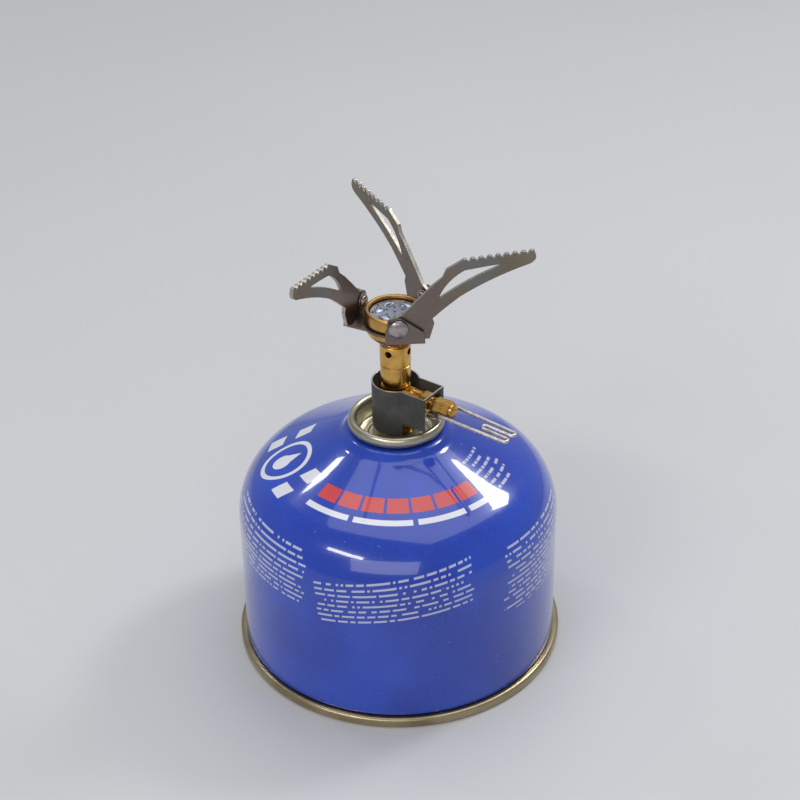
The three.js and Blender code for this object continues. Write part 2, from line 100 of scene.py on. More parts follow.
# ------------------------------------------------------------------ camera
def add_camera():
    eye = Vector((0.0, -0.5099, 0.4129))
    aim = Vector((0.00126, 0.0, 0.0912))
    roll = math.radians(0.887)
    lens = bpy.data.cameras.new("camera")
    lens.sensor_width = 36
    lens.lens = 84.0
    lens.clip_start = 0.01
    camera = bpy.data.objects.new("camera", lens)
    turn = (aim - eye).to_track_quat("-Z", "Y").to_matrix().to_4x4()
    camera.matrix_world = Matrix.Translation(eye) @ turn @ Matrix.Rotation(-roll, 4, "Z")
    bpy.context.scene.collection.objects.link(camera)
    bpy.context.scene.camera = camera


# ------------------------------------------------------------------ shader maths
class Signal:
    """A number that varies over a surface. Arithmetic on it adds Math nodes."""

    def __init__(self, finish, socket):
        self.finish = finish
        self.socket = socket

    def math(self, operation, *values):
        return self.finish.signal("ShaderNodeMath", {"operation": operation}, *values)

    def __add__(self, other):
        return self.math("ADD", self, other)

    def __sub__(self, other):
        return self.math("SUBTRACT", self, other)

    def __rsub__(self, other):
        return self.math("SUBTRACT", other, self)

    def __mul__(self, other):
        return self.math("MULTIPLY", self, other)

    def __truediv__(self, other):
        return self.math("DIVIDE", self, other)

    def __pow__(self, other):
        return self.math("POWER", self, other)

    def __gt__(self, other):
        return self.math("GREATER_THAN", self, other)

    def __lt__(self, other):
        return self.math("LESS_THAN", self, other)

    __radd__ = __add__
    __rmul__ = __mul__

    def floor(self):
        return self.math("FLOOR", self)

    def fraction(self):
        return self.math("FRACT", self)

    def size(self):
        return self.math("ABSOLUTE", self)

    def most(self, other):
        return self.math("MAXIMUM", self, other)

    def step(self, low, high):
        """0 below low, 1 above high and smooth between them."""
        settings = {"interpolation_type": "SMOOTHSTEP"}
        return self.finish.signal("ShaderNodeMapRange", settings, self, low, high, 0.0, 1.0)

    def between(self, low, high, soft):
        return self.step(low - soft, low + soft) * (1 - self.step(high - soft, high + soft))


class Finish:
    """A material, built from nodes on the piece's own Object coordinates."""

    def __init__(self, name, **uniform):
        self.material = bpy.data.materials.new(name)
        self.material.use_nodes = True
        self.nodes = self.material.node_tree.nodes
        self.links = self.material.node_tree.links
        self.shader = self.nodes["Principled BSDF"]
        for socket, value in uniform.items():
            self.shader.inputs[socket.replace("_", " ")].default_value = value
        self.coordinates = self.node("ShaderNodeTexCoord", {}).outputs["Object"]
        parts = self.node("ShaderNodeSeparateXYZ", {}, self.coordinates)
        self.x, self.y, self.z = (Signal(self, output) / MM for output in parts.outputs)

    def node(self, kind, settings, *values, **named):
        node = self.nodes.new(kind)
        for setting, value in settings.items():
            setattr(node, setting, value)
        for key, value in [*enumerate(values), *named.items()]:
            socket = node.inputs[key.replace("_", " ") if isinstance(key, str) else key]
            if isinstance(value, Signal):
                value = value.socket
            if isinstance(value, bpy.types.NodeSocket):
                self.links.new(value, socket)
            else:
                socket.default_value = value
        return node

    def signal(self, kind, settings, *values, **named):
        return Signal(self, self.node(kind, settings, *values, **named).outputs[0])

    def vector(self, x, y, z):
        return self.node("ShaderNodeCombineXYZ", {}, x, y, z).outputs[0]

    def noise(self, scale, detail=3.0, rough=0.5, where=None):
        """Noise with features about 1 / scale millimetres across; where is in millimetres."""
        place = where or self.vector(self.x, self.y, self.z)
        return self.signal("ShaderNodeTexNoise", {}, Vector=place, Scale=scale, Detail=detail,
                           Roughness=rough)

    def mix(self, amount, first, second):
        node = self.node("ShaderNodeMix", {"data_type": "RGBA"}, Factor=amount)
        for socket, value in ((node.inputs[6], first), (node.inputs[7], second)):
            if isinstance(value, bpy.types.NodeSocket):
                self.links.new(value, socket)
            else:
                socket.default_value = (*value, 1)
        return node.outputs[2]

    def ramp(self, amount, stops):
        node = self.node("ShaderNodeValToRGB", {}, amount)
        while len(node.color_ramp.elements) < len(stops):
            node.color_ramp.elements.new(0.5)
        for element, (place, colour) in zip(node.color_ramp.elements, stops):
            element.position = place
            element.color = (*colour, 1)
        return node.outputs[0]

    def bump(self, height, distance, strength=1.0):
        """Raises the surface by height times distance, which is in millimetres."""
        node = self.node("ShaderNodeBump", {}, Height=height, Distance=distance * MM,
                         Strength=strength)
        self.links.new(node.outputs[0], self.shader.inputs["Normal"])

    def wear(self, **inputs):
        for name, value in inputs.items():
            if isinstance(value, Signal):
                value = value.socket
            self.links.new(value, self.shader.inputs[name.replace("_", " ")])
        return self.material


# ------------------------------------------------------------------ finishes
def small_nicks(finish, scale, along):
    """Sparse short nicks; along stretches them by how little it scales each axis."""
    place = finish.vector(finish.x * along[0], finish.y * along[1], finish.z * along[2])
    return finish.noise(scale, 2.0, 0.5, place).step(0.70, 0.74)


def canister_lacquer():
    paint = Finish("canister_lacquer", Specular_IOR_Level=0.25, Coat_Roughness=0.05)
    blue = (0.013, 0.058, 0.46)
    deep = (0.008, 0.039, 0.36)
    white = (0.74, 0.75, 0.78)
    red = (0.56, 0.05, 0.05)
    tin = (0.42, 0.37, 0.28)
    degrees = 180 / math.pi
    x, y, z = paint.x, paint.y, paint.z
    radius = (x * x + y * y) ** 0.5
    angle = x.math("ARCTAN2", y, x) * degrees
    from_left = x.math("ARCTAN2", y * -1, x * -1) * degrees
    shoulder = z.step(60, 61)

    # A row of plain red blocks and a broken white line on the shoulder, in front.
    first, last, block_turn = -137.0, -43.0, 13.43
    ink_edge = 0.12
    block = ((angle - first) / block_turn).fraction().between(0.06, 0.94, 0.01)
    red_arc = radius.between(30.6, 35.4, ink_edge) * block
    red_arc = red_arc * angle.between(first + 0.5, last - 0.5, 0.2)
    white_arc = angle.between(-138.0, -114.0, 0.2)
    for start, end in ((-111.5, -83.0), (-80.5, -56.5), (-54.0, -42.0)):
        white_arc = white_arc.most(angle.between(start, end, 0.2))
    white_arc = white_arc * radius.between(37.6, 39.4, ink_edge)

    # A plain drop in a ring between two pairs of blocks, on the left of the shoulder.
    mark_turn, mark_radius = 6.0, 36.5
    across = (from_left - mark_turn) / degrees * radius
    down = radius - mark_radius
    reach = (across * across + down * down) ** 0.5
    ring = reach.between(7.2, 8.6, ink_edge)
    drop_foot = (across * across + (down - 1.4) * (down - 1.4)) ** 0.5 < 3.1
    drop_top = down.between(-5.2, 1.4, 0.05) * (across.size() < (down + 5.2) * 0.46)
    bars = across.size().between(11.0, 16.5, ink_edge) * down.size().between(2.0, 7.0, ink_edge)
    mark = ring.most(drop_foot).most(drop_top).most(bars)

    # Rows of short bars where a label's small print would be, rising by slope for each degree.
    def small_print(centre, half_angle, low, high, pitch, slope=0.0):
        level = z - (angle - centre) * slope
        row = (level / pitch).floor()
        in_row = (level / pitch).fraction().between(0.32, 0.68, 0.05)
        cell = (angle * 1.1 + row * 0.37).floor()
        chance = paint.signal("ShaderNodeTexWhiteNoise", {"noise_dimensions": "2D"},
                              Vector=paint.vector(cell, row, 0.0))
        ragged = half_angle - 7 * paint.signal(
            "ShaderNodeTexWhiteNoise", {"noise_dimensions": "1D"}, W=row)
        field = ((angle - centre).size() < ragged) * level.between(low, high, 0.05)
        return field * in_row * (chance > 0.24)

    print_white = small_print(-92, 30, 42.0, 57.5, 2.0, 0.14)
    print_white = print_white.most(small_print(-150, 27, 42.0, 62.0, 2.0))
    print_white = print_white.most(small_print(-27, 24, 35.0, 60.0, 2.0))
    print_white = print_white.most(small_print(-25, 13, 69.5, 76.5, 1.2))
    white_ink = (print_white * 0.65).most(shoulder * white_arc.most(mark))
    red_ink = shoulder * red_arc

    cloud = paint.noise(0.03, 2.0)
    body = paint.mix(cloud.step(0.35, 0.65), blue, deep)
    colour = paint.mix(white_ink * 0.92, body, white)
    colour = paint.mix(red_ink, colour, red)

    # Lacquer is chipped in a few places just above the seam, and dusty all over.
    chips = (1 - z.step(3.5, 5.5)) * (paint.noise(0.55, 5.0, 0.7) > 0.62)
    colour = paint.mix(chips, colour, tin)
    dust = paint.noise(0.9, 5.0, 0.65).step(0.50, 0.85)
    colour = paint.mix(dust * 0.03, colour, white)
    nicks = small_nicks(paint, 0.5, (1.0, 1.0, 1.4)) * (paint.noise(0.03, 2.0) > 0.6)
    colour = paint.mix(nicks * 0.12, colour, white)

    rough = 0.22 + dust * 0.16 + chips * 0.2 + nicks * 0.15
    paint.bump(paint.noise(0.09, 2.0) * 0.6 + white_ink * 0.05 - chips * 0.4, 0.06, 0.6)
    return paint.wear(Base_Color=colour, Roughness=rough, Metallic=chips,
                      Coat_Weight=0.95 - chips * 0.85 - dust * 0.35)


def tinned_sheet(name, light, dark, lines=2.6):
    """Rolled tinplate under a thin gold lacquer."""
    sheet = Finish(name, Coat_Roughness=0.12)
    place = sheet.vector(sheet.x * 0.05, sheet.y * 0.05, sheet.z * lines)
    rolled = sheet.noise(1.0, 3.0, 0.5, place)
    stain = sheet.noise(0.07, 4.0, 0.6)
    speck = sheet.noise(0.9, 5.0, 0.7) > 0.66
    colour = sheet.mix(stain.step(0.35, 0.7), light, dark)
    colour = sheet.mix(speck * 0.35, colour, (0.10, 0.065, 0.035))
    sheet.bump(rolled + sheet.noise(0.25, 3.0) * 0.5, 0.02, 0.5)
    rough = 0.20 + rolled * 0.10 + stain * 0.12 + speck * 0.2
    return sheet.wear(Base_Color=colour, Roughness=rough, Metallic=0.98 - speck * 0.5,
                      Coat_Weight=0.35 - stain * 0.2)


def turned_brass(name, axis, tint=(200.0, 210.0)):
    """Brass with lathe lines across axis, painted as highlights, dulled in patches, browned by heat
    above tint.
    """
    brass = Finish(name)
    along = brass.x * axis[0] + brass.y * axis[1] + brass.z * axis[2]
    lathe_lines_and_highlight = brass.noise(9.0, 3.0, 0.6, brass.vector(along, 0.0, 0.0))
    patch = brass.noise(0.22, 4.0, 0.6)
    colour = brass.mix(patch.step(0.38, 0.68), (0.68, 0.40, 0.10), (0.48, 0.25, 0.045))
    # Each lathe line is painted lighter brass: a painted highlight along it.
    colour = brass.mix(lathe_lines_and_highlight.step(0.3, 0.7) * 0.25, colour, (0.82, 0.57, 0.22))
    heat = (brass.z + brass.noise(0.3, 3.0) * 3.0).step(*tint)
    colour = brass.mix(heat * 0.45, colour, (0.46, 0.24, 0.12))
    marks = brass.noise(1.6, 5.0, 0.7) > 0.70
    colour = brass.mix(marks * 0.4, colour, (0.20, 0.095, 0.025))
    brass.bump(lathe_lines_and_highlight, 0.012, 0.5)
    rough = 0.15 + lathe_lines_and_highlight * 0.10 + patch * 0.12 + heat * 0.12 + marks * 0.15
    return brass.wear(Base_Color=colour, Roughness=rough, Metallic=1.0 - marks * 0.3)


def heat_tinted_steel(name):
    """Pressed stainless sheet, coloured straw, brown and violet where the flame reaches it."""
    steel = Finish(name)
    x, y, z = steel.x, steel.y, steel.z
    radius = (x * x + y * y) ** 0.5
    grain = steel.noise(1.0, 3.0, 0.55, steel.vector(x * 0.25, y * 0.25, z * 7.0))
    cloud = steel.noise(0.13, 4.0, 0.6)
    heat = (radius - 9.0) / 42.0 + (cloud - 0.5) * 0.40
    colour = steel.ramp(heat, [
        (0.00, (0.19, 0.150, 0.120)), (0.16, (0.185, 0.142, 0.138)), (0.30, (0.21, 0.172, 0.130)),
        (0.46, (0.18, 0.190, 0.200)), (0.62, (0.20, 0.172, 0.128)), (1.00, (0.26, 0.235, 0.190)),
    ])
    colour = steel.mix(grain.step(0.35, 0.75) * 0.35, colour, (0.33, 0.29, 0.23))
    soot = steel.noise(0.45, 5.0, 0.65).step(0.55, 0.80)
    colour = steel.mix(soot * 0.30, colour, (0.06, 0.048, 0.04))
    nicks = small_nicks(steel, 0.6, (0.6, 0.6, 1.6))
    colour = steel.mix(nicks * 0.2, colour, (0.46, 0.41, 0.34))
    steel.bump(grain + soot * 0.5, 0.018, 0.6)
    rough = 0.30 + grain * 0.14 + soot * 0.20 - nicks * 0.08
    return steel.wear(Base_Color=colour, Roughness=rough, Metallic=1.0 - soot * 0.2)


def bright_steel(name, light=(0.60, 0.58, 0.55), dark=(0.34, 0.31, 0.29), rough=0.2):
    steel = Finish(name)
    smear = steel.noise(0.5, 4.0, 0.6)
    fine = steel.noise(4.0, 4.0, 0.6)
    colour = steel.mix(smear.step(0.4, 0.72), light, dark)
    steel.bump(fine, 0.012, 0.5)
    return steel.wear(Base_Color=colour, Roughness=rough + smear * 0.16 + fine * 0.05,
                      Metallic=1.0 - smear * 0.08)


def blackened_sheet(name, bare_and_lit_above):
    """Dark oxide on thin sheet, with bare metal on its upper cut edge, painted light there partly as a
    highlight.
    """
    sheet = Finish(name)
    grit = sheet.noise(3.0, 6.0, 0.75)
    cloud = sheet.noise(0.14, 3.0, 0.55)
    colour = sheet.mix(cloud.step(0.35, 0.7), (0.055, 0.055, 0.051), (0.086, 0.085, 0.078))
    colour = sheet.mix(grit.step(0.45, 0.75) * 0.5, colour, (0.15, 0.145, 0.13))
    # Only the top edge is painted light: bare metal, and a painted highlight where it catches the
    # light.
    edge = (sheet.z + grit * 0.10).step(bare_and_lit_above, bare_and_lit_above + 0.06)
    colour = sheet.mix(edge, colour, (0.46, 0.44, 0.40))
    sheet.bump(grit, 0.025, 0.7)
    return sheet.wear(Base_Color=colour, Roughness=0.48 + grit * 0.18 - edge * 0.22,
                      Metallic=0.35 + edge * 0.6)


def nitrile(name):
    rubber = Finish(name)
    grain = rubber.noise(3.0, 5.0, 0.7)
    bloom = rubber.noise(0.4, 3.0)
    colour = rubber.mix(bloom * 0.6, (0.010, 0.010, 0.011), (0.032, 0.031, 0.030))
    rubber.bump(grain, 0.02, 0.6)
    return rubber.wear(Base_Color=colour, Roughness=0.55 + grain * 0.25)


def sintered_bronze(name):
    bronze = Finish(name)
    place = bronze.vector(bronze.x, bronze.y, bronze.z)
    cells = bronze.signal("ShaderNodeTexVoronoi", {}, Vector=place, Scale=4.0)
    colour = bronze.mix(cells, (0.58, 0.38, 0.18), (0.12, 0.06, 0.025))
    bronze.bump(1 - cells, 0.1, 0.9)
    return bronze.wear(Base_Color=colour, Roughness=0.45 + cells * 0.3,
                       Metallic=0.95 - cells * 0.3)


def woven_gauze(name):
    """Fine crossed wires, seen through the ports of the burner plate."""
    gauze = Finish(name)
    warp = ((gauze.x * 3.2).fraction() - 0.5).size()
    weft = ((gauze.y * 3.2).fraction() - 0.5).size()
    wires = 1 - warp.step(0.22, 0.34) * weft.step(0.22, 0.34)
    colour = gauze.mix(wires, (0.006, 0.006, 0.006), (0.30, 0.27, 0.24))
    gauze.bump(wires, 0.12, 1.0)
    return gauze.wear(Base_Color=colour, Roughness=0.7 - wires * 0.3, Metallic=wires * 0.9)


# ------------------------------------------------------------------ piece making
def new_object(name, shape):
    mesh = bpy.data.meshes.new(name)
    shape.to_mesh(mesh)
    shape.free()
    piece = bpy.data.objects.new(name, mesh)
    bpy.context.scene.collection.objects.link(piece)
    return piece


def settle(piece, material, body, slot, *nodes, sharp=35):
    """Gives a finished mesh its material and its body, and hides the CAD nodes it stands for. The slot
    is not used.
    """
    piece.data.materials.clear()
    piece.data.materials.append(material)
    piece.data.shade_smooth()
    piece.data.set_sharp_from_angle(angle=math.radians(sharp))
    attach(piece, body)
    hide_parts(*nodes)
    return piece


def eased(outline, radius, steps=3):
    """A closed outline with every corner rounded, as far as its neighbours leave room."""
    points = [Vector(point) for point in outline]
    rounded = []
    for index, corner in enumerate(points):
        before = points[index - 1] - corner
        after = points[(index + 1) % len(points)] - corner
        cut = min(radius, before.length * 0.45, after.length * 0.45)
        start = corner + before.normalized() * cut
        end = corner + after.normalized() * cut
        for step in range(steps + 1):
            t = step / steps
            rounded.append(start * (1 - t) ** 2 + corner * (2 * t * (1 - t)) + end * t ** 2)
    return [tuple(point) for point in rounded]


def spun(outline, steps=TURNED_STEPS, place=UPRIGHT, closed=True):
    """A turned solid from an outline of (radius, height) in millimetres."""
    shape = bmesh.new()
    points = [shape.verts.new((radius, 0, height)) for radius, height in outline]
    pairs = list(zip(points, points[1:]))
    if closed:
        pairs.append((points[-1], points[0]))
    edges = [shape.edges.new(pair) for pair in pairs]
    bmesh.ops.spin(shape, geom=points + edges, axis=(0, 0, 1), cent=(0, 0, 0), angle=TURN,
                   steps=steps, use_merge=True)
    bmesh.ops.remove_doubles(shape, verts=shape.verts, dist=1e-4)
    bmesh.ops.recalc_face_normals(shape, faces=shape.faces)
    bmesh.ops.transform(shape, matrix=Matrix.Scale(MM, 4) @ place, verts=shape.verts)
    return shape


def walled(line, thickness):
    """The outline of a sheet of even thickness along an open line of (radius, height)."""
    left, right = [], []
    for index, point in enumerate(line):
        ahead = Vector(line[min(index + 1, len(line) - 1)])
        behind = Vector(line[max(index - 1, 0)])
        run = (ahead - behind).normalized() * (thickness / 2)
        left.append((point[0] + run.y, point[1] - run.x))
        right.append((point[0] - run.y, point[1] + run.x))
    return left + right[::-1]


def arc(centre, radii, start, end, steps):
    """Points on an arc or ellipse; angles in degrees."""
    for step in range(steps + 1):
        angle = math.radians(start + (end - start) * step / steps)
        yield (centre[0] + radii[0] * math.cos(angle), centre[1] + radii[1] * math.sin(angle))


def peg(radius, low, high, place, steps=32):
    """A plain round cutter or core."""
    return spun([(0, low), (radius, low), (radius, high), (0, high)], steps, place, closed=False)


def carved(name, base, *cuts):
    """Joins or cuts solids: each cut is an operation and a shape."""
    piece = new_object(name, base)
    helpers = []
    for operation, shape in cuts:
        helper = new_object(name + "_tool", shape)
        helpers.append(helper)
        change = piece.modifiers.new("cut", "BOOLEAN")
        change.operation = operation
        change.object = helper
        change.solver = "EXACT"
    bpy.context.view_layer.update()
    graph = bpy.context.evaluated_depsgraph_get()
    mesh = bpy.data.meshes.new_from_object(piece.evaluated_get(graph))
    piece.modifiers.clear()
    piece.data = mesh
    for helper in helpers:
        bpy.data.objects.remove(helper)
    return piece


def ease_edges(piece, width, angle=28):
    """Rounds every edge sharper than angle; width is in millimetres."""
    bevel = piece.modifiers.new("eased_edges", "BEVEL")
    bevel.width = width * MM
    bevel.segments = 2
    bevel.limit_method = "ANGLE"
    bevel.angle_limit = math.radians(angle)
    bevel.use_clamp_overlap = True
    shading = piece.modifiers.new("flat_faces", "WEIGHTED_NORMAL")
    shading.keep_sharp = True
    shading.weight = 90
    return piece


def refined(node, material, slot, width, angle=28):
    """A merged and tidied copy of a CAD node, with its edges eased."""
    shape = bmesh.new()
    shape.from_mesh(frame["nodes"][node].data)
    bmesh.ops.remove_doubles(shape, verts=shape.verts, dist=1e-6)
    bmesh.ops.dissolve_limit(shape, angle_limit=math.radians(0.5), verts=shape.verts,
                             edges=shape.edges)
    piece = new_object(node + "_piece", shape)
    settle(piece, material, frame["nodes"][node]["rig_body"], slot, node)
    return ease_edges(piece, width, angle)


def drawn_wire(name, points, radius, material, body, slot, node, place, sides=6):
    """A round wire along chosen points, with its ends closed."""
    curve = bpy.data.curves.new(name, "CURVE")
    curve.dimensions = "3D"
    curve.bevel_depth = radius * MM
    curve.bevel_resolution = sides
    curve.use_fill_caps = True
    spline = curve.splines.new("POLY")
    spline.points.add(len(points) - 1)
    for knot, point in zip(spline.points, points):
        knot.co = (*(place @ Vector(point) * MM), 1)
    guide = bpy.data.objects.new(name + "_guide", curve)
    bpy.context.scene.collection.objects.link(guide)
    bpy.context.view_layer.update()
    graph = bpy.context.evaluated_depsgraph_get()
    mesh = bpy.data.meshes.new_from_object(guide.evaluated_get(graph))
    bpy.data.objects.remove(guide)
    shape = bmesh.new()
    shape.from_mesh(mesh)
    bmesh.ops.remove_doubles(shape, verts=shape.verts, dist=1e-7)
    bmesh.ops.recalc_face_normals(shape, faces=shape.faces)
    piece = new_object(name, shape)
    return settle(piece, material, body, slot, node, sharp=60)


def bent(corners, radius, steps=7):
    """A path through corners, with its bends rounded."""
    points = [Vector(corners[0])]
    for before, corner, after in zip(corners, corners[1:], corners[2:]):
        corner = Vector(corner)
        back = Vector(before) - corner
        on = Vector(after) - corner
        cut = min(radius / math.tan(back.angle(on) / 2), back.length * 0.499, on.length * 0.499)
        start = corner + back.normalized() * cut
        end = corner + on.normalized() * cut
        for step in range(steps + 1):
            t = step / steps
            points.append(start * (1 - t) ** 2 + corner * (2 * t * (1 - t)) + end * t ** 2)
    points.append(Vector(corners[-1]))
    return points


# ------------------------------------------------------------------ gas canister
def add_canister(lacquer, tin, silver):
    low, high = span("canister_shell")
    sheet = 0.5
    wall = high.x - sheet / 2
    shoulder_z, shoulder_r, cone = 50.0, 20.5, 26.0
    line = [(wall, low.z + sheet / 2), (wall, 20.0), (wall, 35.0), (wall, shoulder_z - 4)]
    line += list(arc((wall - shoulder_r, shoulder_z), (shoulder_r, shoulder_r), 0, 90 - cone, 22))
    cone_r, cone_z = line[-1]
    neck_r, neck_top = 18.4, high.z - 0.05
    rise = math.tan(math.radians(cone))
    for share in (0.25, 0.5, 0.75, 0.93):
        r = cone_r + (neck_r - cone_r) * share
        line.append((r, cone_z + (cone_r - r) * rise))
    line += [(neck_r + 0.2, cone_z + (cone_r - neck_r - 0.5) * rise), (neck_r - 0.4, neck_top - 1.65),
             (neck_r - 0.9, neck_top - 1.25), (neck_r - 1.4, neck_top - 0.7),
             (neck_r - 1.9, neck_top - 0.35), (neck_r - 2.5, neck_top - 0.22),
             (neck_r - 4.0, neck_top - 0.2)]
    shell = new_object("canister_wall", spun(walled(line, sheet), 160))
    settle(shell, lacquer, "canister", "lacquer", "canister_shell")

    _, high = span("base_seam")
    outer, inner = high.x, 52.0
    outline = [(inner + 0.4, 0), (outer - 0.7, 0), (outer, 0.7), (outer, high.z - 0.9),
               (outer - 0.15, high.z - 0.45), (outer - 0.75, high.z), (inner, high.z), (inner, 0.4)]
    seam = new_object("foot_seam", spun(eased(outline, 0.45), 160))
    settle(seam, tin, "canister", "tinplate", "base_seam")

    _, high = span("canister_base")
    line = [(0.0, high.z - 0.25), (13, high.z - 0.65), (26, high.z - 1.85), (36, high.z - 3.7),
            (44, 2.45), (48.6, 1.15), (50.2, 1.15), (51.0, 1.3), (51.45, 1.8), (51.45, high.z)]
    outline = walled(line, 0.45)
    outline[0] = (0.0, outline[0][1])
    outline[-1] = (0.0, outline[-1][1])
    floor = new_object("bottom_panel", spun(outline, TURNED_STEPS, closed=False))
    settle(floor, tin, "canister", "tinplate", "canister_base")

    _, high = span("valve_cup")
    curl_r, curl_z = 14.5, 84.1
    wide, tall = high.x - curl_r - 0.25, high.z - curl_z - 0.25
    line = list(arc((curl_r, curl_z), (wide, tall), -95, 180, 26))
    line += [(13.32, 82.6), (13.2, 80.4), (13.05, 79.5), (12.75, 78.85), (12.2, 78.5), (11.3, 78.5),
             (10.95, 78.6), (10.55, 79.02), (10.25, 79.1), (9.85, 79.1), (9.5, 79.0), (9.2, 78.6),
             (8.9, 78.5), (7.6, 78.5), (7.0, 78.75), (6.7, 79.1), (6.45, 79.8), (6.35, 80.6),
             (6.25, 81.55)]
    cup = new_object("collar_cup", spun(walled(line, 0.48), 112))
    settle(cup, silver, "canister", "cup", "valve_cup")


def add_canister_valve(brass, rubber, steel, tin):
    low, high = span("canister_valve_body")
    crest, root = high.x, high.x - 0.45
    outline = [(3.6, low.z), (crest - 0.3, low.z), (crest, low.z + 0.3), (crest, low.z + 1.2)]
    z = low.z + 1.4
    while z < high.z - 1.2:
        outline += [(root, z), (root, z + 0.12), (crest, z + THREAD_PITCH / 2),
                    (crest, z + THREAD_PITCH / 2 + 0.12)]
        z += THREAD_PITCH
    outline += [(root, z), (root, high.z - 0.35), (root - 0.4, high.z), (2.3, high.z),
                (1.9, high.z - 0.4), (1.9, 83.4), (3.6, 83.4)]
    body = new_object("canister_valve_thread", spun(outline, SMALL_STEPS))
    settle(body, brass, "canister", "brass", "canister_valve_body", sharp=25)

    low, high = span("canister_valve_gasket")
    outline = [(1.5, low.z), (high.x, low.z), (high.x, high.z), (1.5, high.z)]
    washer = new_object("valve_gasket", spun(eased(outline, 0.15), 48))
    settle(washer, rubber, "canister", "rubber", "canister_valve_gasket")

    low, high = span("canister_valve_stem")
    outline = [(0, low.z), (0.6, low.z), (0.9, low.z + 0.3), (0.9, 80.4), (2.65, 80.4), (2.8, 80.55),
               (2.8, 81.05), (2.65, 81.2), (1.2, 81.2), (1.2, high.z - 0.3), (0.95, high.z),
               (0, high.z)]
    stem = new_object("valve_plunger_pin", spun(outline, 40, closed=False))
    settle(stem, brass, "valve_plunger", "brass", "canister_valve_stem", sharp=25)

    low, high = span("canister_valve_spring")
    wire = 0.3
    mean = 2.1
    turns = 4
    count = turns * 28
    climb = high.z - low.z - 2 * wire
    points = [(mean * math.cos(TURN * turns * i / count), mean * math.sin(TURN * turns * i / count),
               low.z + wire + climb * i / count) for i in range(count + 1)]
    spring = drawn_wire("valve_spring_coil", points, wire, steel, "canister", "steel",
                        "canister_valve_spring", UPRIGHT, 3)
    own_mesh(spring)

    low, high = span("canister_valve_housing")
    outline = [(0.8, low.z), (4.1, low.z), (4.6, low.z + 0.7), (4.6, high.z), (3.7, high.z),
               (3.7, low.z + 0.9), (3.4, low.z + 0.8), (0.8, low.z + 0.8)]
    housing = new_object("spring_housing", spun(eased(outline, 0.18), 48))
    settle(housing, tin, "canister", "tinplate", "canister_valve_housing")


# ------------------------------------------------------------------ screw socket and control valve
def add_socket(brass, rubber, bronze):
    low, high = span("screw_socket")
    bore = 5.85
    outline = [(bore + 0.35, low.z), (high.x - 0.5, low.z), (high.x, low.z + 0.5)]
    z = low.z + 1.6
    for _ in range(3):
        outline += [(high.x, z), (high.x - 0.3, z + 0.15), (high.x - 0.3, z + 0.45), (high.x, z + 0.6)]
        z += 1.5
    outline += [(high.x, high.z - 0.4), (high.x - 0.4, high.z), (1.8, high.z), (1.8, 89.0),
                (bore + 0.3, 89.0), (bore + 0.3, 88.7)]
    z = 88.2
    while z > low.z + 1.0:
        outline += [(bore, z), (bore, z - 0.12), (bore + 0.32, z - THREAD_PITCH / 2),
                    (bore + 0.32, z - THREAD_PITCH / 2 - 0.1)]
        z -= THREAD_PITCH
    socket = new_object("threaded_socket", spun(outline, SMALL_STEPS))
    settle(socket, brass, "stove", "brass", "screw_socket", sharp=25)

    low, high = span("socket_seal")
    half = (high.z - low.z) / 2
    loop = list(arc((high.x - half, low.z + half), (half, half), 0, 340, 17))
    seal = new_object("seal_ring", spun(loop, SMALL_STEPS))
    settle(seal, rubber, "seal_carrier", "rubber", "socket_seal", sharp=60)

    low, high = span("depressor_pin")
    outline = [(0, low.z), (0.7, low.z), (0.95, low.z + 0.25), (0.95, 89.3), (1.3, 89.3), (1.45, 89.45),
               (1.45, high.z - 0.2), (1.25, high.z), (0, high.z)]
    pin = new_object("plunger_pusher", spun(outline, 40, closed=False))
    settle(pin, brass, "stove", "brass", "depressor_pin", sharp=25)

    low, high = span("gas_filter")
    outline = [(0, low.z), (high.x - 0.1, low.z), (high.x, low.z + 0.1), (high.x, high.z - 0.1),
               (high.x - 0.1, high.z), (0, high.z)]
    filter_disc = new_object("filter_disc", spun(outline, 40, closed=False))
    settle(filter_disc, bronze, "stove", "bronze", "gas_filter")


